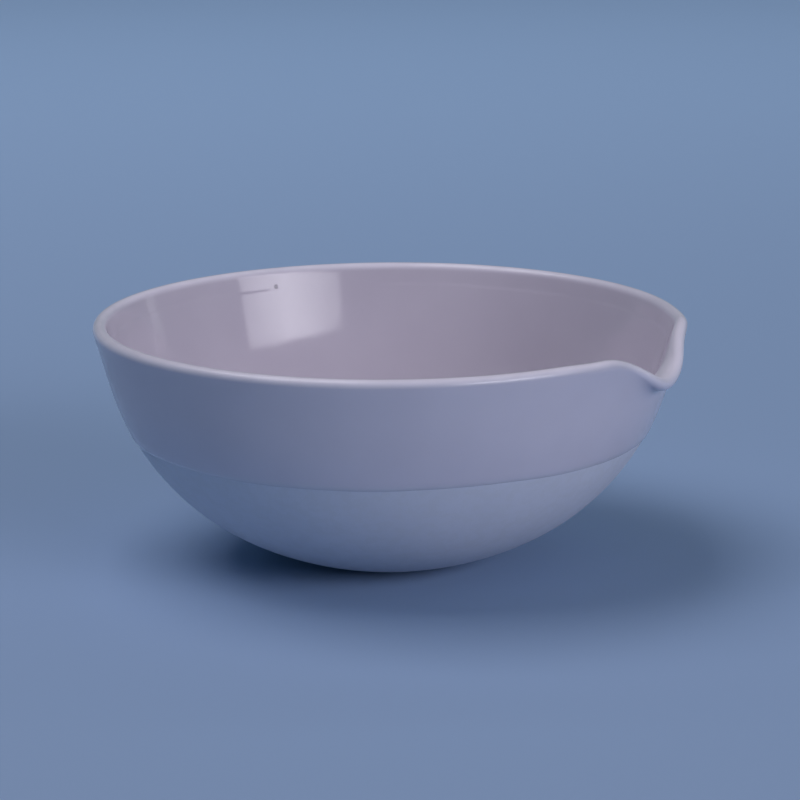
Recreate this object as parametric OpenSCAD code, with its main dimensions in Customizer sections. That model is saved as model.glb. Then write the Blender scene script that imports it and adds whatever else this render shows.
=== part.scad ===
// Laboratory evaporating dish: a round-bottomed porcelain bowl with a pressed pouring spout.
// A fired porcelain body carries a coat of glaze over its inside, its rim and its upper outside.
// The lower outside is left bare, so that the dish can stand in the kiln and on a hot ring.
// The origin is the centre of the small flat foot, +Z is up, and the spout points along +X.

/* [Bowl] */
// Outside diameter of the rim
rim_d = 90; // [84:1:100]
// Height from the foot to the top of the rim
dish_h = 37.7; // [36:0.1:40]
// Depth of the flat foot in the round bottom
foot_cut = 0.8; // [0.4:0.1:1.2]
// Slope of the bowl where the shallow bottom meets the rounder side, in degrees
bottom_slope = 25; // [20:1:28]
// Slope of the straight upper wall, in degrees
wall_slope = 73.4; // [70:0.2:76]
// Height of the straight upper wall, measured along its slope
upper_wall = 8.9; // [7.6:0.1:9.6]

/* [Wall thickness] */
// Thickness at the middle of the bottom, glaze included
base_t = 3.4; // [3:0.1:4]
// Thickness at the rim, glaze included
rim_t = 2.1; // [1.8:0.1:2.6]

/* [Glaze] */
// Thickness of the glaze coat
glaze_t = 0.2; // [0.1:0.05:0.3]
// Height of the lower edge of the glaze on the outside
glaze_h = 20.3; // [17:0.1:22]

/* [Spout] */
// Half of the angle that the spout takes up on the rim, in degrees
spout_half = 22.7; // [20:0.1:26]
// How far the middle of the lip is bent outwards from the wall, in degrees
spout_bend = 92; // [60:1:100]
// How much shorter the wall is at the middle of the spout
spout_drop = 4.1; // [2:0.1:5]
// How closely the bend gathers at the lip, where 1 spreads it over the upper wall
bend_gather = 2.1; // [1.5:0.1:3]
// How far the two shoulders beside the spout lean outwards, in degrees
shoulder_bend = 8; // [2:1:12]

/* [Hidden] */

// Width of a shoulder and of the whole pressed stretch, as multiples of spout_half
shoulder_width = 0.5;
pressed_width = 1 + shoulder_width;

// How sharply the drop and the bend peak at the middle of the spout, where 1 is a plain bump
drop_peak = 0.84;
bend_peak = 1.94;

// Steps of the section: bottom arc, bare side, glazed side, upper wall and rounded rim
bottom_steps = 5;
bare_steps = 5;
glazed_steps = 7;
wall_steps = 10;
rim_steps = 8;

// The quarter of the bowl that holds the spout is meshed, and the other three are turned
spout_sector = 90;
pressed_steps = 18;
turned_facets = 96;
// A straight line through the thin wall and the spout crosses at most this many of its faces
wall_crossings = 6;

// The section's middle line is a bottom arc centred on the axis, a side arc tangent to it and the
// upper wall tangent to that, and the two radii follow from the rim's radius and the height.
bare_base = base_t / 2 - glaze_t;
arcs_r = rim_d / 2 - rim_t / 2 - upper_wall * cos(wall_slope);
arcs_h = dish_h - rim_t / 2 - upper_wall * sin(wall_slope) - bare_base + foot_cut;
side_run = sin(wall_slope) - sin(bottom_slope);
side_rise = cos(bottom_slope) - cos(wall_slope);
bottom_run = sin(bottom_slope);
bottom_rise = 1 - cos(bottom_slope);
arcs_det = bottom_run * side_rise - bottom_rise * side_run;
bottom_r = (arcs_r * side_rise - arcs_h * side_run) / arcs_det;
side_r = (bottom_run * arcs_h - bottom_rise * arcs_r) / arcs_det;

// Centres of the two arcs, as [radius, height]
bottom_centre = [0, bottom_r + bare_base - foot_cut];
side_centre = bottom_centre + (bottom_r - side_r) * [sin(bottom_slope), -cos(bottom_slope)];

// Slopes at the edge of the foot and at the lower edge of the glaze, and the foot's radius
foot_slope = acos(bottom_centre.y / (bottom_r + bare_base));
foot_r = (bottom_r + bare_base) * sin(foot_slope);
glaze_slope = acos((side_centre.y - glaze_h) / (side_r + rim_t / 2));

// Slopes of the stations along the two arcs
arc_slopes = concat(
    [0],
    [for (i = [0:bottom_steps - 1]) foot_slope + (bottom_slope - foot_slope) * i / bottom_steps],
    [for (i = [0:bare_steps - 1]) bottom_slope + (glaze_slope - bottom_slope) * i / bare_steps],
    [for (i = [0:glazed_steps]) glaze_slope + (wall_slope - glaze_slope) * i / glazed_steps]
);
first_glazed = 1 + bottom_steps + bare_steps;
arcs_length = bottom_r * bottom_slope * PI / 180 + side_r * (wall_slope - bottom_slope) * PI / 180;
section_length = arcs_length + upper_wall;

// Azimuths of the spout's sector, with the spout at 0
pressed_edge = spout_half * pressed_width;
sector_azimuths = concat(
    [-spout_sector / 2],
    [for (i = [-pressed_steps:pressed_steps]) pressed_edge * i / pressed_steps],
    [spout_sector / 2]
);

// A smooth bump: 1 at x = 0, level there and at x = 1, and 0 beyond
function bump(x) = x < 1 ? (1 + cos(180 * x)) / 2 : 0;

// How far the spout's drop, its bend and its shoulders act at an azimuth
function drop_at(azimuth) = pow(bump(abs(azimuth) / spout_half), drop_peak);
function lean_at(azimuth) =
    spout_bend * pow(bump(abs(azimuth) / spout_half), bend_peak)
    + shoulder_bend * bump(abs(abs(azimuth) / spout_half - 1) / shoulder_width);

function thickness(run) = base_t + (rim_t - base_t) * run / section_length;

// Stations of the middle line, as [radius, height, slope, thickness]
function arc_run(slope) = PI / 180 * (
    bottom_r * min(slope, bottom_slope) + side_r * max(slope - bottom_slope, 0)
);
function arc_point(slope) = slope < bottom_slope
    ? bottom_centre + bottom_r * [sin(slope), -cos(slope)]
    : side_centre + side_r * [sin(slope), -cos(slope)];
function arc_station(slope) = concat(arc_point(slope), [slope, thickness(arc_run(slope))]);
function wall_slope_at(azimuth, q) = wall_slope - lean_at(azimuth) * pow(q, bend_gather);
function wall_stations(azimuth) =
    let (step = (upper_wall - spout_drop * drop_at(azimuth)) / wall_steps)
    [for (
        i = 1, slope = wall_slope_at(azimuth, 0.5 / wall_steps),
        p = arc_point(wall_slope) + step * [cos(slope), sin(slope)];
        i <= wall_steps;
        slope = wall_slope_at(azimuth, (i + 0.5) / wall_steps),
        p = p + step * [cos(slope), sin(slope)], i = i + 1
    ) concat(p, [
        wall_slope_at(azimuth, i / wall_steps),
        thickness(arcs_length + upper_wall * i / wall_steps)
    ])];
function stations(azimuth) = concat([for (s = arc_slopes) arc_station(s)], wall_stations(azimuth));

// A point beside a station, on the outer side where side is 1 and the inner side where it is -1.
// skin is the depth below the finished surface.
function beside(station, side, skin) =
    [station[0], station[1]]
    + side * (station[3] / 2 - skin) * [sin(station[2]), -cos(station[2])];

// Outer points of the section. The first two are the middle and the edge of the flat foot.
function outer_point(line, i, skin) = i < 2 ? [foot_r * i, 0] : beside(line[i], 1, skin);

// The surface at a depth of skin, from the given first station on the outside, up, over the
// rounded rim and down the inside to the axis
function surface_line(azimuth, skin, first) =
    let (line = stations(azimuth), last = len(line) - 1, end = line[last])
    concat(
        [for (i = [first:last]) outer_point(line, i, skin)],
        [for (k = [1:rim_steps - 1])
            let (turn = end[2] - 90 + 180 * k / rim_steps)
            [end[0], end[1]] + (end[3] / 2 - skin) * [cos(turn), sin(turn)]],
        [for (i = [last:-1:0]) beside(line[i], -1, skin)]
    );

function backwards(list) = [for (i = [len(list) - 1:-1:0]) list[i]];
function body_loop(azimuth) = surface_line(azimuth, glaze_t, 0);
function glaze_loop(azimuth) = concat(
    surface_line(azimuth, 0, first_glazed),
    backwards(surface_line(azimuth, glaze_t, first_glazed))
);

// Two triangles for four corners, without those that have no area
function patch(points, a, b, c, d) = [
    for (t = [[a, b, c], [a, c, d]])
        if (points[t[0]] != points[t[1]] && points[t[1]] != points[t[2]]
            && points[t[2]] != points[t[0]]) t
];

// The sector through a closed loop at each azimuth. A loop's first half runs along one surface and
// its second half comes back along the other, so that each end is closed by a strip between them.
module sector(loops) {
    n = len(loops[0]);
    last = len(loops) - 1;
    points = [
        for (j = [0:last], p = loops[j])
            let (turn = sector_azimuths[j] + spout_sector / 2)
            [p.x * cos(turn), p.x * sin(turn), p.y]
    ];
    sides = [
        for (j = [0:last - 1], k = [0:n - 1], t = patch(
            points, j * n + k, j * n + (k + 1) % n, (j + 1) * n + (k + 1) % n, (j + 1) * n + k
        )) t
    ];
    half = floor((n - 1) / 2);
    start_cap = [
        for (k = [0:half - 1], t = patch(points, k, n - 1 - k, n - 2 - k, k + 1)) t
    ];
    end_cap = [
        for (k = [0:half - 1], t = patch(
            points, last * n + k, last * n + k + 1, last * n + n - 2 - k, last * n + n - 1 - k
        )) t
    ];
    polyhedron(points, concat(sides, start_cap, end_cap), convexity = wall_crossings);
}

// A bowl from its plain section, turned through three quarters, and the sector with the spout
module bowl(plain_loop, spout_loops) {
    rotate([0, 0, -spout_sector / 2]) {
        rotate_extrude(angle = 360 - spout_sector, start = spout_sector, $fn = turned_facets)
            polygon(plain_loop);
        sector(spout_loops);
    }
}

// The fired porcelain, with the flat foot and the bare lower outside
module porcelain_body() {
    color([0.87, 0.87, 0.90])
        bowl(body_loop(spout_sector / 2), [for (a = sector_azimuths) body_loop(a)]);
}

// The glaze fused over the inside, the rim, the spout and the upper outside
module glaze_coat() {
    color([0.80, 0.79, 0.86])
        bowl(glaze_loop(spout_sector / 2), [for (a = sector_azimuths) glaze_loop(a)]);
}

porcelain_body();
glaze_coat();
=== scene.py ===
# Laboratory evaporating dish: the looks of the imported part, in the row frame and in metres.
# Two pieces stand for the two CAD nodes: the fired porcelain, bare on its lower outside, and the
# glaze fused over the inside, the rim, the spout and the upper outside.

import math

import bpy
import numpy as np
from mathutils import Matrix, Vector


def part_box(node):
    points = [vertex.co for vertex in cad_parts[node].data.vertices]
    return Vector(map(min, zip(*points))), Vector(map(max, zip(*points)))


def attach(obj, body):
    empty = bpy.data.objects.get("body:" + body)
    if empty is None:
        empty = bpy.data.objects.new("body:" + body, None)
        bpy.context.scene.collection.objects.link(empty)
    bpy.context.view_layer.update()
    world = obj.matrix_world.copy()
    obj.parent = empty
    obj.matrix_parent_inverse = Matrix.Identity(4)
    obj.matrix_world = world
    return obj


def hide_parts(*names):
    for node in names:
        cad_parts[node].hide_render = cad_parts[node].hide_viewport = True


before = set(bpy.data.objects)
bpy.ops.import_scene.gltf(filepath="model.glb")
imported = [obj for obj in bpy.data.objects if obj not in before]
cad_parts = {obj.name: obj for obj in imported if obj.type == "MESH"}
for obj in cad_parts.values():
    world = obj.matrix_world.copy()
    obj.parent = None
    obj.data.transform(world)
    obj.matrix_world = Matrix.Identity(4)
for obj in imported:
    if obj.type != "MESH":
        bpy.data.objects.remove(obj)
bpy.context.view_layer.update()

MM = 0.001

# ---------------------------------------------------------------- the dish's section
# The rim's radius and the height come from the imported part. The spout is along +X, so the plain
# rim is measured on the opposite side.
glaze_low, glaze_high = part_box("glaze_coat")
RIM_R = -glaze_low.x
HEIGHT = glaze_high.z

# Driving dimensions of the section, as the CAD part has them: the depth of the foot, the slopes
# of the bottom and of the upper wall, the wall's height along its slope, the thicknesses at the
# middle and at the rim, glaze included, and the glaze's thickness and its height on the outside
FOOT_CUT = 0.8 * MM
BOTTOM_SLOPE = math.radians(25)
WALL_SLOPE = math.radians(73.4)
UPPER_WALL = 8.9 * MM
BASE_T = 3.4 * MM
RIM_T = 2.1 * MM
GLAZE_T = 0.2 * MM
GLAZE_H = 20.3 * MM

# The spout, also as in the CAD part: half of its angle on the rim, how far the lip is bent
# outwards, how much shorter the wall is there, and how closely the bend gathers at the lip
SPOUT_HALF = math.radians(22.7)
SPOUT_BEND = math.radians(92)
SPOUT_DROP = 4.1 * MM
BEND_GATHER = 2.1

# The shoulders beside the spout, whose width is a multiple of SPOUT_HALF, and how sharply the
# drop and the bend peak in its middle, where 1 is a plain bump
SHOULDER_BEND = math.radians(8)
SHOULDER_WIDTH = 0.5
DROP_PEAK = 0.84
BEND_PEAK = 1.94

# Columns round the axis. They gather at the spout by this share of their even spacing.
COLUMNS = 256
GATHER = 0.6

# Near the axis a ring has fewer columns: it takes the first entry here whose radius it reaches
COLUMNS_BY_RADIUS = ((15 * MM, 256), (8 * MM, 128), (4 * MM, 64), (2 * MM, 32), (0.0, 16))

even_azimuths = np.arange(COLUMNS) * 2 * np.pi / COLUMNS
AZIMUTHS = even_azimuths - GATHER * np.sin(even_azimuths)

# The two arcs of the section's middle line meet with one slope, and their radii follow from the
# rim's radius and the height
bare_base = BASE_T / 2 - GLAZE_T
arcs_r = RIM_R - RIM_T / 2 - UPPER_WALL * math.cos(WALL_SLOPE)
arcs_h = HEIGHT - RIM_T / 2 - UPPER_WALL * math.sin(WALL_SLOPE) - bare_base + FOOT_CUT
side_run = math.sin(WALL_SLOPE) - math.sin(BOTTOM_SLOPE)
side_rise = math.cos(BOTTOM_SLOPE) - math.cos(WALL_SLOPE)
bottom_run = math.sin(BOTTOM_SLOPE)
bottom_rise = 1 - math.cos(BOTTOM_SLOPE)
arcs_det = bottom_run * side_rise - bottom_rise * side_run
BOTTOM_R = (arcs_r * side_rise - arcs_h * side_run) / arcs_det
SIDE_R = (bottom_run * arcs_h - bottom_rise * arcs_r) / arcs_det
BOTTOM_LENGTH = BOTTOM_R * BOTTOM_SLOPE
ARCS_LENGTH = BOTTOM_LENGTH + SIDE_R * (WALL_SLOPE - BOTTOM_SLOPE)
LENGTH = ARCS_LENGTH + UPPER_WALL

# The knees between the arcs and the wall are eased over this length, so that a reflection runs
# over them without a break. The easing is a mean of this many samples.
EASE = 8 * MM
EASE_SAMPLES = 9

# Spacing of the samples along the middle line
FINE = 0.05 * MM


def bump(x):
    """1 at x = 0, level there and at x = 1, and 0 beyond."""
    return np.where(np.abs(x) < 1, (1 + np.cos(np.pi * x)) / 2, 0.0)


def folded(azimuth):
    """The angle from the spout, from 0 to pi."""
    return np.abs((azimuth + np.pi) % (2 * np.pi) - np.pi)


def drop_at(azimuth):
    """How much of the spout's drop there is at an azimuth."""
    return bump(folded(azimuth) / SPOUT_HALF) ** DROP_PEAK


def lean_at(azimuth):
    """How far the top of the wall leans outwards at an azimuth."""
    middle = bump(folded(azimuth) / SPOUT_HALF) ** BEND_PEAK
    beside = bump((folded(azimuth) / SPOUT_HALF - 1) / SHOULDER_WIDTH)
    return SPOUT_BEND * middle + SHOULDER_BEND * beside


def plain_slope(run):
    """Slope of the plain middle line at a distance along it, with eased knees."""
    total = np.zeros_like(run)
    for k in range(EASE_SAMPLES):
        s = run + EASE * ((k + 0.5) / EASE_SAMPLES - 0.5)
        low = np.minimum(s, BOTTOM_LENGTH) / BOTTOM_R
        high = np.clip(s - BOTTOM_LENGTH, 0, ARCS_LENGTH - BOTTOM_LENGTH) / SIDE_R
        total += low + high
    return total / EASE_SAMPLES


def middle_line(azimuths):
    """The middle line at each azimuth: arrays of radius, height and slope against the distance from
    the axis to the rim on the plain line. In the spout the same distance covers a shorter wall."""
    share = np.linspace(0, 1, int(round(LENGTH / FINE)) + 1)
    run = share * LENGTH
    q = np.clip((run - ARCS_LENGTH) / UPPER_WALL, 0, 1)
    slope = plain_slope(run)[None, :] - lean_at(azimuths)[:, None] * q[None, :] ** BEND_GATHER
    shrink = 1 - SPOUT_DROP / UPPER_WALL * drop_at(azimuths)
    step = np.where(run[1:] > ARCS_LENGTH, shrink[:, None], 1.0) * np.diff(run)[None, :]
    middle = (slope[:, 1:] + slope[:, :-1]) / 2
    start = np.zeros((len(azimuths), 1))
    r = np.hstack([start, np.cumsum(step * np.cos(middle), axis=1)])
    z = np.hstack([start, np.cumsum(step * np.sin(middle), axis=1)])
    return run, r, z, slope


# The plain line's end sets the small correction that brings it to the rim
_, plain_r, plain_z, _ = middle_line(np.array([np.pi]))
R_SCALE = (RIM_R - RIM_T / 2) / plain_r[0, -1]
Z_SHIFT = HEIGHT - RIM_T / 2 - plain_z[0, -1]

RUN, LINE_R, LINE_Z, LINE_SLOPE = middle_line(AZIMUTHS)
LINE_R = LINE_R * R_SCALE
LINE_Z = LINE_Z + Z_SHIFT

# How much lower the lip is than the rim. The first column is the middle of the spout.
LIP_DROP = HEIGHT - RIM_T / 2 - LINE_Z[0].max()

# Share of the line over which the unevenness grows from nothing at the foot
TRUE_SHARE = 0.4


def unevenness(azimuth, run):
    """How far the pressed and fired wall stands off its true shape, along its own normal. The
    waves' heights are in millimetres."""
    fade = np.clip(run / (TRUE_SHARE * LENGTH), 0, 1) ** 2
    slow = 0.050 * np.sin(2 * azimuth + 0.7) + 0.022 * np.sin(3 * azimuth - 1.1)
    rising = 0.012 * np.sin(7 * azimuth + 260 * run + 0.4)
    falling = 0.009 * np.sin(11 * azimuth - 340 * run)
    return MM * fade * (slow + (rising + falling))


def on_line(values, run):
    """Values of the line at each column's own distance along it."""
    place = np.clip(run / LENGTH, 0, 1) * (len(RUN) - 1)
    low = np.minimum(place.astype(int), len(RUN) - 2)
    part = place - low
    rows = np.arange(len(AZIMUTHS))
    return values[rows, low] * (1 - part) + values[rows, low + 1] * part


def round_axis(r, z):
    """Points at each column's radius and height."""
    return np.stack([r * np.cos(AZIMUTHS), r * np.sin(AZIMUTHS), z], axis=1)


def ring(run, side, depth):
    """A ring of points at a distance along the line, on the outer side where side is 1 and the
    inner side where it is -1, at a depth below the finished surface. run and depth may differ from
    column to column."""
    run = np.broadcast_to(np.asarray(run, float), AZIMUTHS.shape)
    slope = on_line(LINE_SLOPE, run)
    half = (BASE_T + (RIM_T - BASE_T) * run / LENGTH) / 2
    off = side * (half - depth) + unevenness(AZIMUTHS, run)
    r = on_line(LINE_R, run) + off * np.sin(slope)
    z = on_line(LINE_Z, run) - off * np.cos(slope)
    return round_axis(r, z)


def rim_ring(turn, depth):
    """A ring on the rounded rim, where turn runs from 0 on the outside to pi on the inside."""
    run = np.full(AZIMUTHS.shape, LENGTH)
    slope = on_line(LINE_SLOPE, run)
    angle = slope - np.pi / 2 + turn
    lift = unevenness(AZIMUTHS, run)
    r = on_line(LINE_R, run) + (RIM_T / 2 - depth) * np.cos(angle) + lift * np.sin(slope)
    z = on_line(LINE_Z, run) + (RIM_T / 2 - depth) * np.sin(angle) - lift * np.cos(slope)
    return round_axis(r, z)


# ---------------------------------------------------------------- meshes
class Shell:
    """A mesh made of rings of points round the axis, joined one to the next."""

    def __init__(self):
        self.points = []
        self.faces = []
        self.count = 0

    def add(self, points):
        """Adds points and gives their indices."""
        first = self.count
        self.points.append(points)
        self.count += len(points)
        return np.arange(first, self.count)

    def ring(self, points):
        """Adds a ring, thinned out near the axis, and gives the indices of its points."""
        radius = np.hypot(points[:, 0], points[:, 1]).min()
        columns = next(n for r, n in COLUMNS_BY_RADIUS if radius >= r)
        return self.add(points[:: COLUMNS // columns])

    def pole(self, points):
        """Adds a point on the axis at the height of a ring, and gives its index."""
        centre = points.mean(axis=0)
        return self.add(np.array([[0.0, 0.0, centre[2]]]))[0]

    def join(self, a, b, flip=False):
        """Faces between two rings. One may have half as many points as the other."""
        if len(a) < len(b):
            self.join(b, a, not flip)
            return
        n = len(a)
        made = []
        if len(a) == len(b):
            for i in range(n):
                j = (i + 1) % n
                made.append((a[i], a[j], b[j], b[i]))
        else:
            for i in range(len(b)):
                j = (i + 1) % len(b)
                p, q, s = a[2 * i], a[2 * i + 1], a[(2 * i + 2) % n]
                made.append((p, q, b[i]))
                made.append((q, s, b[j], b[i]))
        self.faces += [face[::-1] if flip else face for face in made]

    def close(self, a, pole, flip=False):
        """A fan from a ring to one point."""
        n = len(a)
        made = [(a[i], a[(i + 1) % n], pole) for i in range(n)]
        self.faces += [face[::-1] if flip else face for face in made]

    def skin(self, rings, flip=False):
        """Joins a list of rings in order, from the outside up, over the rim and down the inside."""
        for a, b in zip(rings, rings[1:]):
            self.join(a, b, flip)

    def build(self, name):
        """Makes the object, smoothly shaded."""
        mesh = bpy.data.meshes.new(name)
        faces = [[int(i) for i in face] for face in self.faces]
        mesh.from_pydata(np.concatenate(self.points).tolist(), [], faces)
        mesh.validate()
        mesh.shade_smooth()
        obj = bpy.data.objects.new(name, mesh)
        bpy.context.scene.collection.objects.link(obj)
        return obj


def spaced(start, end, step):
    """Distances from start to end, both included, no further apart than step."""
    return np.linspace(start, end, int(math.ceil(abs(end - start) / step)) + 1)


# Rows of the meshes: closer together from a little below the upper wall to the rim
ROW = 1.0 * MM
WALL_ROW = 0.6 * MM
WALL_START = ARCS_LENGTH - 3 * MM
RIM_STEPS = 20
LAST_INNER_RUN = 1.2 * MM
wall_runs = spaced(WALL_START, LENGTH, WALL_ROW)[1:]
inner_wall_runs = spaced(LENGTH, WALL_START, WALL_ROW)
inner_runs = np.concatenate([inner_wall_runs, spaced(WALL_START, LAST_INNER_RUN, ROW)[1:]])


def over_the_rim(shell, depth):
    """Rings over the rim and down the inside to the last before the axis."""
    turns = [shell.ring(rim_ring(np.pi * k / RIM_STEPS, depth)) for k in range(1, RIM_STEPS)]
    return turns + [shell.ring(ring(run, -1, depth)) for run in inner_runs]


# The foot's flat part, and its edge, which has rows close together for its small rounding
FOOT_START = 1.5 * MM
FOOT_ROW = 1.5 * MM
FOOT_EDGE_START = 7.5 * MM
FOOT_EDGE_END = 10.5 * MM
FOOT_EDGE_ROW = 0.2 * MM
FOOT_ROUNDING = 0.10 * MM


def on_foot(points):
    """Grinds the round bottom flat at the foot, with a slightly rounded edge."""
    points = points.copy()
    z = points[:, 2]
    points[:, 2] = (z + np.sqrt(z * z + FOOT_ROUNDING**2)) / 2
    return points


def make_body():
    """The fired porcelain: foot, round outside, rim and inside, one closed skin."""
    shell = Shell()
    foot_runs = spaced(FOOT_START, FOOT_EDGE_START, FOOT_ROW)
    edge_runs = spaced(FOOT_EDGE_START, FOOT_EDGE_END, FOOT_EDGE_ROW)[1:]
    side_runs = spaced(FOOT_EDGE_END, WALL_START, ROW)[1:]
    runs = np.concatenate([foot_runs, edge_runs, side_runs, wall_runs])
    rings = [shell.ring(on_foot(ring(run, 1, GLAZE_T))) for run in runs]
    rings += over_the_rim(shell, GLAZE_T)
    shell.skin(rings)
    foot_pole = shell.add(np.array([[0.0, 0.0, 0.0]]))[0]
    shell.close(rings[0], foot_pole, flip=True)
    shell.close(rings[-1], shell.pole(ring(0.0, -1, GLAZE_T)))
    return shell.build("porcelain_dish_body")


# The glaze's lower edge wanders a little, thickens into a low bead and ends rounded
EDGE_ROUND = 0.9 * MM
BEAD = 0.03 * MM
BEAD_AT = 1.3 * MM
BEAD_WIDTH = 0.7 * MM

# Rows of the glaze above its edge: close together over the rounding and the bead, and then this
# many more up to the start of the wall's rows
EDGE_DISTANCES = np.array([0.02, 0.06, 0.13, 0.22, 0.34, 0.5, 0.7, 0.95, 1.25, 1.65, 2.2]) * MM
ROWS_ABOVE_EDGE = 7
EDGE_SEARCH_STEPS = 400


def glaze_edge_run():
    """The distance along the line at which each column's glaze ends. The wander is in
    millimetres."""
    runs = np.linspace(BOTTOM_LENGTH, ARCS_LENGTH, EDGE_SEARCH_STEPS)
    heights = np.array([ring(run, 1, 0.0)[:, 2] for run in runs])
    edge = np.array([np.interp(GLAZE_H, heights[:, i], runs) for i in range(COLUMNS)])
    wander = (
        0.16 * np.sin(AZIMUTHS * 2 + 1.9)
        + 0.10 * np.sin(AZIMUTHS * 5 - 0.6)
        + 0.05 * np.sin(AZIMUTHS * 9 + 2.4)
        + 0.025 * np.sin(AZIMUTHS * 17 + 0.8)
    )
    return edge + wander * MM


def glaze_depth(distance):
    """How far below the finished surface the glaze lies at a distance above its edge."""
    part = min(distance / EDGE_ROUND, 1.0)
    full = math.sqrt(1 - (1 - part) ** 2)
    bead = BEAD * full * math.exp(-(((distance - BEAD_AT) / BEAD_WIDTH) ** 2))
    return GLAZE_T * (1 - full) - bead


def make_glaze():
    """The coat of glaze: its outer skin, and an inner skin that lies on the porcelain."""
    shell = Shell()
    edge = glaze_edge_run()
    edge_top = edge + EDGE_DISTANCES[-1]
    shares = np.linspace(0, 1, ROWS_ABOVE_EDGE + 1)[1:]
    runs = [edge + d for d in EDGE_DISTANCES]
    runs += [edge_top * (1 - s) + WALL_START * s for s in shares]
    runs += list(wall_runs)
    depths = [glaze_depth(d) for d in EDGE_DISTANCES]
    depths += [0.0] * (len(shares) + len(wall_runs))
    outer = [shell.ring(ring(run, 1, depth)) for run, depth in zip(runs, depths)]
    outer += over_the_rim(shell, 0.0)
    under = [shell.ring(ring(run, 1, GLAZE_T)) for run in [edge, *runs]]
    under += over_the_rim(shell, GLAZE_T)
    shell.skin([under[0], *outer])
    shell.close(outer[-1], shell.pole(ring(0.0, -1, 0.0)))
    shell.skin(under, flip=True)
    shell.close(under[-1], shell.pole(ring(0.0, -1, GLAZE_T)), flip=True)
    obj = shell.build("glaze_skin")
    sharpen(obj, under[0])
    return obj


def sharpen(obj, ring_indices):
    """Marks the edges of a ring as sharp, so that the two skins that meet there shade apart."""
    on_ring = set(int(i) for i in ring_indices)
    sharp = obj.data.attributes.new("sharp_edge", "BOOLEAN", "EDGE")
    flags = [e.vertices[0] in on_ring and e.vertices[1] in on_ring for e in obj.data.edges]
    sharp.data.foreach_set("value", flags)


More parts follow.
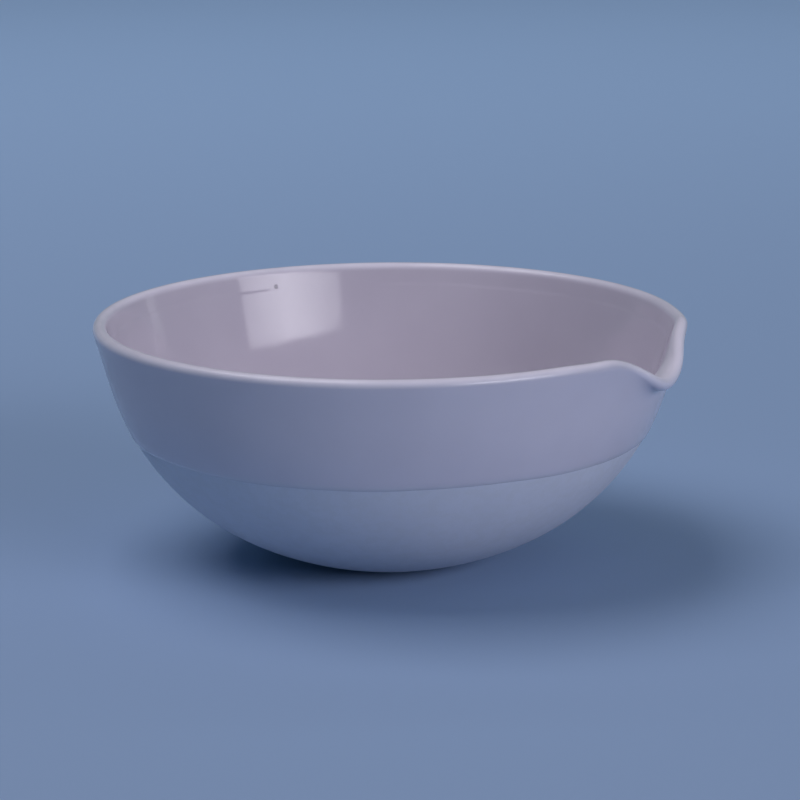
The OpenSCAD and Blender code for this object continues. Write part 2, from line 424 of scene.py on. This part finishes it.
# ---------------------------------------------------------------- materials
class Nodes:
    """A material's node tree, with short calls for the nodes that both materials use."""

    def __init__(self, name):
        self.material = bpy.data.materials.new(name)
        self.material.use_nodes = True
        self.tree = self.material.node_tree
        self.shader = self.tree.nodes["Principled BSDF"]
        coordinates = self.tree.nodes.new("ShaderNodeTexCoord")
        self.place = coordinates.outputs["Object"]
        self.facing = coordinates.outputs["Normal"]

    def node(self, kind, **settings):
        """A new node of a kind, with its settings."""
        made = self.tree.nodes.new(kind)
        for key, value in settings.items():
            setattr(made, key, value)
        return made

    def link(self, source, socket):
        self.tree.links.new(source, socket)

    def noise(self, size, detail=3.0, roughness=0.5):
        """A noise whose features are about size metres across."""
        mapping = self.node("ShaderNodeMapping")
        mapping.inputs["Scale"].default_value = [1 / size] * 3
        self.link(self.place, mapping.inputs["Vector"])
        made = self.node("ShaderNodeTexNoise")
        made.inputs["Scale"].default_value = 1.0
        made.inputs["Detail"].default_value = detail
        made.inputs["Roughness"].default_value = roughness
        self.link(mapping.outputs["Vector"], made.inputs["Vector"])
        return made.outputs["Fac"]

    def math(self, operation, a, b=None, c=None):
        """A sum on numbers or sockets."""
        made = self.node("ShaderNodeMath", operation=operation)
        for socket, value in zip(made.inputs, (a, b, c)):
            if value is None:
                continue
            if isinstance(value, (int, float)):
                socket.default_value = value
            else:
                self.link(value, socket)
        return made.outputs[0]

    def times(self, a, b):
        return self.math("MULTIPLY", a, b)

    def between(self, value, low, high, to_low=0.0, to_high=1.0):
        """Maps a value smoothly from low..high to to_low..to_high."""
        made = self.node("ShaderNodeMapRange", interpolation_type="SMOOTHSTEP")
        made.inputs["From Min"].default_value = low
        made.inputs["From Max"].default_value = high
        made.inputs["To Min"].default_value = to_low
        made.inputs["To Max"].default_value = to_high
        self.link(value, made.inputs["Value"])
        return made.outputs["Result"]

    def mix(self, factor, a, b):
        """A colour between a and b, which are colours or sockets."""
        made = self.node("ShaderNodeMix", data_type="RGBA")
        sockets = (made.inputs[0], made.inputs[6], made.inputs[7])
        for socket, value in zip(sockets, (factor, a, b)):
            if isinstance(value, (int, float)):
                socket.default_value = value
            elif isinstance(value, tuple):
                socket.default_value = (*value, 1.0)
            else:
                self.link(value, socket)
        return made.outputs[2]

    def bump(self, height, distance, strength, after=None):
        """A surface normal raised by a height, over the one that comes before it."""
        made = self.node("ShaderNodeBump")
        made.inputs["Strength"].default_value = strength
        made.inputs["Distance"].default_value = distance
        self.link(height, made.inputs["Height"])
        if after is not None:
            self.link(after, made.inputs["Normal"])
        return made.outputs["Normal"]

    def dent(self, mask, depth, strength, after):
        """A bump that sinks where the mask is 1."""
        return self.bump(self.times(mask, -1.0), depth, strength, after)

    def parts(self, vector):
        """The three numbers of a vector."""
        split = self.node("ShaderNodeSeparateXYZ")
        self.link(vector, split.inputs[0])
        return [split.outputs[axis] for axis in "XYZ"]

    def red(self, colour):
        split = self.node("ShaderNodeSeparateColor")
        self.link(colour, split.inputs[0])
        return split.outputs[0]

    def height_and_radius(self):
        """The height above the foot and the distance from the axis."""
        x, y, z = self.parts(self.place)
        squares = self.math("ADD", self.times(x, x), self.times(y, y))
        return z, self.math("SQRT", squares)

    def distance(self, point):
        """The distance from a point."""
        made = self.node("ShaderNodeVectorMath", operation="DISTANCE")
        self.link(self.place, made.inputs[0])
        made.inputs[1].default_value = point
        return made.outputs["Value"]

    def spout(self):
        """1 at the middle of the spout, falling smoothly to 0 at its sides."""
        x, y, _ = self.parts(self.place)
        angle = self.math("ABSOLUTE", self.math("ARCTAN2", y, x))
        share = self.math("MINIMUM", self.math("DIVIDE", angle, SPOUT_HALF), 1.0)
        wave = self.math("COSINE", self.times(share, math.pi))
        return self.math("MULTIPLY_ADD", wave, 0.5, 0.5)

    def below_rim(self, spout):
        """Depth below the top of the rim, which is lower in the spout."""
        depth = self.math("SUBTRACT", HEIGHT, self.parts(self.place)[2])
        return self.math("SUBTRACT", depth, self.times(spout, LIP_DROP))

    def inside(self, radius):
        """1 on the inside of the bowl and 0 on its outside, from the way that the surface faces.
        The 0.1 mm keeps the division sound at the axis."""
        x, y, _ = self.parts(self.place)
        across, along, upward = self.parts(self.facing)
        outward = self.math("ADD", self.times(x, across), self.times(y, along))
        outward = self.math("DIVIDE", outward, self.math("ADD", radius, 0.1 * MM))
        return self.between(self.math("SUBTRACT", upward, outward), -0.2, 0.9)

    def scatter(self, weight, scale):
        """The faint depth of porcelain, nearly the same for all colours of light."""
        self.shader.inputs["Subsurface Weight"].default_value = weight
        self.shader.inputs["Subsurface Radius"].default_value = (1.0, 0.95, 0.9)
        self.shader.inputs["Subsurface Scale"].default_value = scale


# Tints of the glaze, each pair the two ends of its clouding. The inside's tints are warmer and a
# little lighter than the outside's: painted light, the warmer light inside the bowl against the
# cooler light on the outside.
GLAZE_OUTER = ((0.585, 0.562, 0.665), (0.609, 0.586, 0.690))
GLAZE_INNER_WARM_LIGHT = ((0.622, 0.568, 0.668), (0.647, 0.593, 0.692))
GLAZE_POOL = (0.580, 0.540, 0.600)
GLAZE_MARGIN = (0.62, 0.62, 0.69)
# The crest's light tint is partly painted highlight, the brightness that light from above gives the
# rim
GLAZE_CREST_AND_HIGHLIGHT = (0.90, 0.850, 0.965)
SPECK = (0.42, 0.40, 0.42)
BURST_AND_REFLECTION_MARK = (0.30, 0.28, 0.31)
GLAZE_IOR = 1.46

# Size of the cells that may each hold one kiln speck, and the share of them that stay empty
SPECK_CELL = 5.2 * MM
EMPTY_CELLS = 0.72

# One bubble burst on the inner wall, a little below the rim. Its dark spot is partly a painted
# reflection: it stands for a small dark mark in the side light's reflection there.
BUBBLE_AZIMUTH = math.radians(138.93)
BUBBLE_R = 42.31 * MM
BUBBLE_BELOW_RIM = 2.79 * MM
BUBBLE = (
    BUBBLE_R * math.cos(BUBBLE_AZIMUTH),
    BUBBLE_R * math.sin(BUBBLE_AZIMUTH),
    HEIGHT - BUBBLE_BELOW_RIM,
)

# A faint line runs round the inside below the rim, where the edge was sponged
SPONGED_LINE = 3.0 * MM
SPONGED_WANDER = 0.5 * MM


def glaze_material():
    """Glossy glaze, with a light crest that is partly painted highlight, painted warmer light on the
    inside, specks, a burst bubble whose dark spot is partly a painted reflection, and a sponged
    line.
    """
    m = Nodes("glazed_porcelain")
    z, radius = m.height_and_radius()
    inside = m.inside(radius)
    spout = m.spout()
    below = m.below_rim(spout)
    # Clouded, and a little deeper in colour where it has pooled in the bottom
    cloud = m.between(m.noise(13 * MM, detail=2.0), 0.3, 0.7)
    # The inside takes the warmer tints: painted light, not a change in the glaze
    colour = m.mix(inside, m.mix(cloud, *GLAZE_OUTER), m.mix(cloud, *GLAZE_INNER_WARM_LIGHT))
    pool = m.between(z, 14 * MM, 3 * MM)
    colour = m.mix(m.times(pool, 0.5), colour, GLAZE_POOL)
    # Thin at its lower edge, where the bare porcelain shows through it
    edge_z = m.math("SUBTRACT", z, m.times(m.noise(3 * MM), 1.0 * MM))
    margin = m.between(edge_z, GLAZE_H + 0.7 * MM, GLAZE_H - 0.5 * MM)
    margin = m.times(margin, m.math("SUBTRACT", 1.0, inside))
    colour = m.mix(m.times(margin, 0.7), colour, GLAZE_MARGIN)
    # Light over the crest of the rim. This is partly the glaze drawing back thin as it melts, and
    # partly a painted highlight: the brightness that the light from above gives the rim and the
    # upturned lip. The light band is half as wide again in the spout.
    widened = m.math("DIVIDE", below, m.math("MULTIPLY_ADD", spout, 0.5, 1.0))
    crest = m.between(widened, 1.20 * MM, 0.25 * MM)
    crest = m.times(crest, m.between(m.noise(4 * MM), 0.2, 0.8, 0.8, 1.0))
    colour = m.mix(m.times(crest, 0.95), colour, GLAZE_CREST_AND_HIGHLIGHT)
    # Sparse specks, such as kiln dust leaves
    cells = m.node("ShaderNodeTexVoronoi")
    cells.inputs["Scale"].default_value = 1 / SPECK_CELL
    m.link(m.place, cells.inputs["Vector"])
    chosen = m.math("GREATER_THAN", m.red(cells.outputs["Color"]), EMPTY_CELLS)
    speck = m.times(m.between(cells.outputs["Distance"], 0.028, 0.014), chosen)
    colour = m.mix(m.times(speck, 0.35), colour, SPECK)
    # Painted reflection in part: the bubble's dark spot stands for a dark mark in the side light's
    # reflection
    bubble = m.between(m.distance(BUBBLE), 0.42 * MM, 0.16 * MM)
    colour = m.mix(m.times(bubble, 0.55), colour, BURST_AND_REFLECTION_MARK)
    m.link(colour, m.shader.inputs["Base Color"])
    # Glossy, and a little duller on the crest
    rough = m.between(m.noise(9 * MM), 0.3, 0.7, 0.085, 0.125)
    rough = m.math("ADD", rough, m.times(crest, 0.12))
    m.link(rough, m.shader.inputs["Roughness"])
    # Orange peel over the ripple that dipping leaves, both calmer on the tight curve of the rim
    calm = m.math("MULTIPLY_ADD", crest, -0.85, 1.0)
    ripple = m.bump(m.times(m.noise(3.4 * MM, detail=1.5), calm), 0.05 * MM, 0.5)
    peel = m.bump(m.times(m.noise(0.9 * MM, detail=2.0), calm), 0.004 * MM, 0.5, after=ripple)
    # The sponged line comes and goes, and what is above it fades out before the rim
    line_depth = m.math("MULTIPLY_ADD", m.noise(5 * MM), SPONGED_WANDER, SPONGED_LINE)
    sponged = m.between(m.math("SUBTRACT", below, line_depth), 0.35 * MM, -0.35 * MM)
    sponged = m.times(sponged, m.between(below, 1.3 * MM, 2.9 * MM))
    sponged = m.times(sponged, m.between(m.noise(16 * MM), 0.60, 0.42))
    line = m.dent(m.times(sponged, inside), 0.05 * MM, 1.0, after=peel)
    pits = m.dent(speck, 0.02 * MM, 0.5, after=line)
    burst = m.dent(bubble, 0.07 * MM, 1.0, after=pits)
    m.link(burst, m.shader.inputs["Normal"])
    m.shader.inputs["IOR"].default_value = GLAZE_IOR
    m.scatter(0.12, 0.8 * MM)
    return m.material


# Tints of the bare porcelain, of which the first two are the ends of its clouding
BARE = ((0.61, 0.63, 0.73), (0.635, 0.655, 0.755))
BARE_MOTTLE = (0.585, 0.600, 0.665)
BARE_GRAIN = (0.57, 0.585, 0.65)
WORN_FOOT = (0.50, 0.50, 0.53)
BARE_IOR = 1.45

# Spacing of the turning marks round the bottom, and how far they drift, in radians of their wave
TURNING_PITCH = 1.15 * MM
TURNING_DRIFT = 7.0


def bare_material():
    """Matt fired porcelain, with mottle, fine grain, turning marks and a worn foot."""
    m = Nodes("bare_porcelain")
    z, radius = m.height_and_radius()
    colour = m.mix(m.between(m.noise(11 * MM), 0.3, 0.7), *BARE)
    mottle = m.between(m.noise(1.7 * MM, detail=2.0), 0.42, 0.60)
    colour = m.mix(m.times(mottle, 0.35), colour, BARE_MOTTLE)
    grain = m.noise(0.22 * MM, detail=4.0, roughness=0.65)
    colour = m.mix(m.times(m.between(grain, 0.35, 0.65), 0.25), colour, BARE_GRAIN)
    # The ground foot is a little worn and grey
    worn = m.between(z, 0.35 * MM, 0.06 * MM)
    worn = m.times(worn, m.between(m.noise(2.5 * MM), 0.3, 0.7, 0.3, 1.0))
    colour = m.mix(m.times(worn, 0.45), colour, WORN_FOOT)
    m.link(colour, m.shader.inputs["Base Color"])
    m.link(m.between(m.noise(1.6 * MM), 0.3, 0.7, 0.56, 0.68), m.shader.inputs["Roughness"])
    # Faint turning marks run round the bottom under the fine grain of the fired body
    phase = m.times(radius, 2 * math.pi / TURNING_PITCH)
    marks = m.math("SINE", m.math("ADD", phase, m.times(m.noise(8 * MM), TURNING_DRIFT)))
    turned = m.bump(marks, 0.004 * MM, 0.6)
    grained = m.bump(grain, 0.020 * MM, 0.6, after=turned)
    m.link(grained, m.shader.inputs["Normal"])
    m.shader.inputs["IOR"].default_value = BARE_IOR
    m.scatter(0.08, 0.6 * MM)
    return m.material


# ---------------------------------------------------------------- the two pieces
body = make_body()
glaze = make_glaze()
body.data.materials.append(bare_material())
glaze.data.materials.append(glaze_material())
for piece, node, slot in (
    (body, "porcelain_body", "bare_porcelain"),
    (glaze, "glaze_coat", "glaze"),
):
    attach(piece, "root")
    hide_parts(node)


# ---------------------------------------------------------------- floor and surroundings
FLOOR_HALF = 4.0
FLOOR_COLOUR = (0.325, 0.452, 0.665, 1)
corners = [(-1, -1), (1, -1), (1, 1), (-1, 1)]
floor_mesh = bpy.data.meshes.new("floor")
floor_mesh.from_pydata([(FLOOR_HALF * x, FLOOR_HALF * y, 0) for x, y in corners], [], [(0, 1, 2, 3)])
floor = bpy.data.objects.new("floor", floor_mesh)
bpy.context.scene.collection.objects.link(floor)
paper = bpy.data.materials.new("pale_paper")
paper.use_nodes = True
paper_shader = paper.node_tree.nodes["Principled BSDF"]
paper_shader.inputs["Base Color"].default_value = FLOOR_COLOUR
paper_shader.inputs["Roughness"].default_value = 0.85
paper_shader.inputs["Specular IOR Level"].default_value = 0.2
floor.data.materials.append(paper)

# The studio's walls are lighter near the ground than overhead
WALL_COLOUR = (0.42, 0.80, 1.0, 1)
WALL_STRENGTH = 0.17
OVERHEAD_STRENGTH = 0.045
OVERHEAD_FROM = 0.6
world = bpy.data.worlds.new("studio")
bpy.context.scene.world = world
world.use_nodes = True
world_nodes = world.node_tree.nodes
background = world_nodes["Background"]
background.inputs["Color"].default_value = WALL_COLOUR
way_seen = world_nodes.new("ShaderNodeTexCoord")
way_parts = world_nodes.new("ShaderNodeSeparateXYZ")
fall = world_nodes.new("ShaderNodeMapRange")
fall.interpolation_type = "SMOOTHSTEP"
fall.inputs["From Min"].default_value = 0.0
fall.inputs["From Max"].default_value = OVERHEAD_FROM
fall.inputs["To Min"].default_value = WALL_STRENGTH
fall.inputs["To Max"].default_value = OVERHEAD_STRENGTH
world.node_tree.links.new(way_seen.outputs["Generated"], way_parts.inputs[0])
world.node_tree.links.new(way_parts.outputs["Z"], fall.inputs["Value"])
world.node_tree.links.new(fall.outputs["Result"], background.inputs["Strength"])

# ---------------------------------------------------------------- camera
# The camera's azimuth is counted from -Y towards +X. Its lens is in millimetres, and the picture
# is turned a little, in radians.
CAMERA_AZIMUTH = math.radians(23.22)
CAMERA_ELEVATION = math.radians(13.56)
CAMERA_DISTANCE = 0.55
FOCAL = 161.3
ROLL = 0.0053

# It stands off from the middle of the bowl's height, and aims a little beside that point
SIGHT_HEIGHT = 19.0 * MM
AIM_RIGHT = 1.6 * MM
AIM_UP = 5.5 * MM

right = Vector((math.cos(CAMERA_AZIMUTH), math.sin(CAMERA_AZIMUTH), 0))
ahead = Vector((-math.sin(CAMERA_AZIMUTH), math.cos(CAMERA_AZIMUTH), 0))
overhead = Vector((0, 0, 1))
back = overhead * math.sin(CAMERA_ELEVATION) - ahead * math.cos(CAMERA_ELEVATION)
up = back.cross(right)
sight = overhead * SIGHT_HEIGHT

camera_data = bpy.data.cameras.new("camera")
camera_data.lens = FOCAL
camera_data.clip_start = 0.01
camera_data.clip_end = 50
camera = bpy.data.objects.new("camera", camera_data)
bpy.context.scene.collection.objects.link(camera)
camera_place = sight + back * CAMERA_DISTANCE
aim = sight + right * AIM_RIGHT + up * AIM_UP
turn = (aim - camera_place).to_track_quat("-Z", "Y").to_matrix().to_4x4()
camera.matrix_world = Matrix.Translation(camera_place) @ turn @ Matrix.Rotation(-ROLL, 4, "Z")
bpy.context.scene.camera = camera


# ---------------------------------------------------------------- light
LAMP_COLOUR = (0.94, 0.91, 1.0)
REAR_COLOUR = (0.90, 0.95, 1.0)
BACKDROP_COLOUR = (0.85, 0.93, 1.0)


def soft_light(name, azimuth, elevation, distance, size, watts, colour):
    """An oblong soft light. Its azimuth is counted in degrees from the picture's right towards the
    back, and it faces the dish."""
    a = math.radians(azimuth)
    e = math.radians(elevation)
    way = (right * math.cos(a) + ahead * math.sin(a)) * math.cos(e) + overhead * math.sin(e)
    data = bpy.data.lights.new(name, "AREA")
    data.shape = "RECTANGLE"
    data.size, data.size_y = size
    data.energy = watts
    data.color = colour
    obj = bpy.data.objects.new(name, data)
    obj.location = sight + way * distance
    obj.rotation_euler = (-way).to_track_quat("-Z", "Y").to_euler()
    bpy.context.scene.collection.objects.link(obj)
    return obj


def fade_ends(light, middle, ends):
    """Makes a light brightest down its middle and lets it fall off evenly towards its two ends."""
    light.data.use_nodes = True
    nodes = light.data.node_tree.nodes
    link = light.data.node_tree.links.new
    across = nodes.new("ShaderNodeNewGeometry")
    across_parts = nodes.new("ShaderNodeSeparateXYZ")
    from_middle = nodes.new("ShaderNodeMath")
    from_middle.operation = "SUBTRACT"
    from_middle.inputs[1].default_value = 0.5
    distance_off = nodes.new("ShaderNodeMath")
    distance_off.operation = "ABSOLUTE"
    falling = nodes.new("ShaderNodeMapRange")
    falling.inputs["From Min"].default_value = 0.0
    falling.inputs["From Max"].default_value = 0.5
    falling.inputs["To Min"].default_value = middle
    falling.inputs["To Max"].default_value = ends
    link(across.outputs["Parametric"], across_parts.inputs[0])
    link(across_parts.outputs["X"], from_middle.inputs[0])
    link(from_middle.outputs[0], distance_off.inputs[0])
    link(distance_off.outputs[0], falling.inputs["Value"])
    link(falling.outputs["Result"], nodes["Emission"].inputs["Strength"])


# The key light from the upper left
soft_light(
    "key",
    azimuth=180,
    elevation=68,
    distance=0.9,
    size=(0.75, 0.6),
    watts=3.75,
    colour=LAMP_COLOUR,
)

# The side light from the front right, which is mirrored on the inner wall
side = soft_light(
    "side",
    azimuth=-43.9,
    elevation=19.5,
    distance=1.0,
    size=(0.80, 0.32),
    watts=5.2,
    colour=LAMP_COLOUR,
)
fade_ends(side, middle=1.15, ends=0.45)

# A small light from the back right leaves a faint strip of reflection at the left of the inside
soft_light(
    "rear",
    azimuth=30,
    elevation=8,
    distance=1.0,
    size=(0.11, 0.24),
    watts=0.06,
    colour=REAR_COLOUR,
)

# A last light is turned away from the dish and keeps the floor behind it from falling dark
backdrop = soft_light(
    "backdrop",
    azimuth=90,
    elevation=45,
    distance=0.78,
    size=(1.4, 0.3),
    watts=2.5,
    colour=BACKDROP_COLOUR,
)
backdrop_way = ahead * 0.35 - overhead * 0.55
backdrop.rotation_euler = backdrop_way.to_track_quat("-Z", "Y").to_euler()
backdrop.visible_glossy = False

bpy.context.scene.view_settings.view_transform = "Standard"
